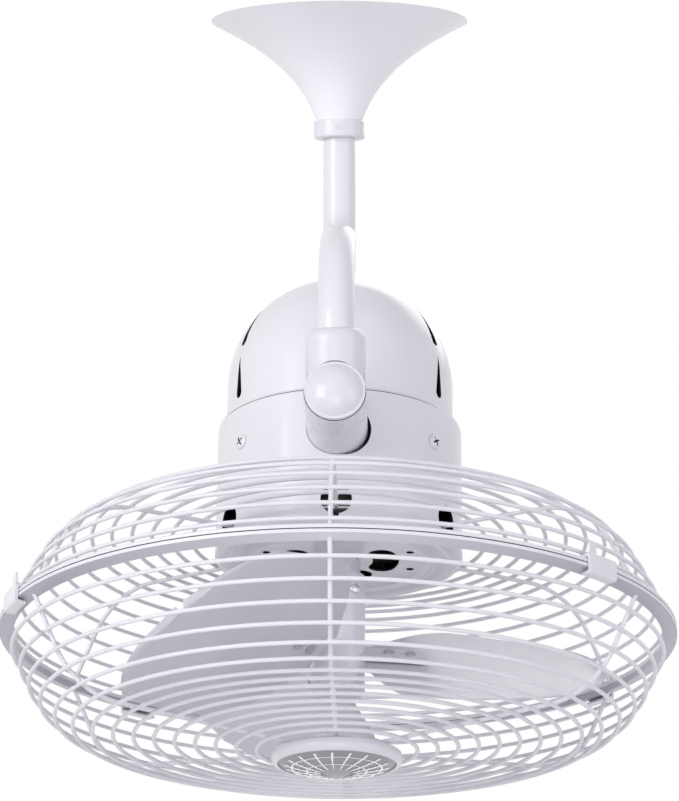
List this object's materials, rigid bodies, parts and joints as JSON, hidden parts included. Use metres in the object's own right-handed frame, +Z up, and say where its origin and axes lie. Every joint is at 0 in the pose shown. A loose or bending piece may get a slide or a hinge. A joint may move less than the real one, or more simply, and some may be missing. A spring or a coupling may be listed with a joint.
{
  "type": "oscillating ceiling fan",
  "caption": "Ceiling hung oscillating cage fan: bell canopy, downrod, curved arm with clutch knob, domed motor housing, wire guard and pressed blades.",
  "frame": {"origin": "centre of the two ceiling screw holes, on the face of the mounting plate that lies on the ceiling", "axes": "+Z up into the ceiling, -Y towards the side of the clutch knob, +X to the right when the knob is faced"},
  "size_m": [0.4299, 0.4017, 0.5217],
  "materials": {
    "white_enamel": "gloss",
    "white_wire": "gloss",
    "white_plastic": "gloss",
    "steel": "satin",
    "copper_wire": "satin",
    "bronze": "satin",
    "gear_nylon": "satin",
    "black_rubber": "matte",
    "badge_metal": "brushed",
    "dark_steel": "satin"
  },
  "bodies": {
    "ceiling_mount": {"ceiling_bracket": "steel", "hanger_ball": "black_rubber", "hanger_pin": "steel", "canopy": "white_enamel", "canopy_collar": "white_plastic", "collar_screw": "steel", "downrod": "white_enamel", "rod_tongue": "steel", "tongue_rivet": "steel"},
    "tilt_arm": {"arm": "white_enamel", "arm_knuckle": "white_plastic", "tilt_pin": "steel", "tilt_nut": "steel", "arm_screw": "steel", "neck_shaft": "steel", "osc_lever": "steel"},
    "knob": {"clutch_knob": "white_plastic", "knob_stud": "steel"},
    "head": {"rear_housing": "white_enamel", "motor_housing": "white_enamel", "front_plate": "white_enamel", "housing_screws": "steel", "motor_shield": "steel", "stator_core": "dark_steel", "rear_winding": "copper_wire", "front_winding": "copper_wire", "rear_bush": "bronze", "front_bush": "bronze", "motor_bolts": "steel", "capacitor": "black_rubber", "gear_case": "white_plastic", "gear_cover": "white_plastic", "neck_bush": "bronze", "thrust_washer": "bronze", "wheel_axle": "steel", "crank_axle": "steel", "rear_guard": "white_wire", "front_guard": "white_wire", "rim_gasket": "black_rubber", "guard_clip_1": "white_plastic", "guard_clip_2": "white_plastic", "guard_clip_3": "white_plastic", "guard_clip_4": "white_plastic", "badge_cap": "white_plastic", "badge_disc": "badge_metal"},
    "fan_wheel": {"rotor_core": "dark_steel", "motor_shaft": "steel", "worm": "steel", "fan_hub": "white_plastic", "hub_screw": "steel", "blade_1": "white_enamel", "blade_2": "white_enamel", "blade_3": "white_enamel", "blade_rivets": "steel"},
    "reduction_wheel": {"worm_wheel": "gear_nylon"},
    "crank": {"crank_gear": "gear_nylon"},
    "link": {"osc_link": "steel"}
  },
  "joints": [
    {"name": "tilt", "type": "hinge", "parent": "ceiling_mount", "child": "tilt_arm", "pos_m": [0, -0.024, -0.146], "axis": [-1, 0, 0], "range_deg": [0, 50]},
    {"name": "oscillation", "type": "hinge", "parent": "tilt_arm", "child": "head", "pos_m": [0, 0, -0.29447], "axis": [0, -0.9304, 0.3665], "range_deg": [-45, 45]},
    {"name": "knob_turn", "type": "hinge", "parent": "tilt_arm", "child": "knob", "pos_m": [0, -0.13026, -0.24316], "axis": [0, -0.9304, 0.3665], "range_deg": [0, 270]},
    {"name": "fan_spin", "type": "hinge", "parent": "head", "child": "fan_wheel", "pos_m": [0, -0.02199, -0.35029], "axis": [0, -0.3665, -0.9304], "continuous": true},
    {"name": "reduction_turn", "type": "hinge", "parent": "head", "child": "reduction_wheel", "pos_m": [0.015, 0.00586, -0.27958], "axis": [0, -0.9304, 0.3665], "continuous": true},
    {"name": "crank_turn", "type": "hinge", "parent": "head", "child": "crank", "pos_m": [-0.0037, 0.00142, -0.26085], "axis": [0, -0.9304, 0.3665], "continuous": true},
    {"name": "link_turn", "type": "hinge", "parent": "crank", "child": "link", "pos_m": [0.00479, -0.00121, -0.25661], "axis": [0, -0.9304, 0.3665], "continuous": true}
  ],
  "couplings": [
    {"joint": "reduction_turn", "follows": "fan_spin", "ratio": 0.041667},
    {"joint": "crank_turn", "follows": "fan_spin", "ratio": -0.0083333},
    {"joint": "link_turn", "follows": "fan_spin", "ratio": 0.0083333}
  ]
}
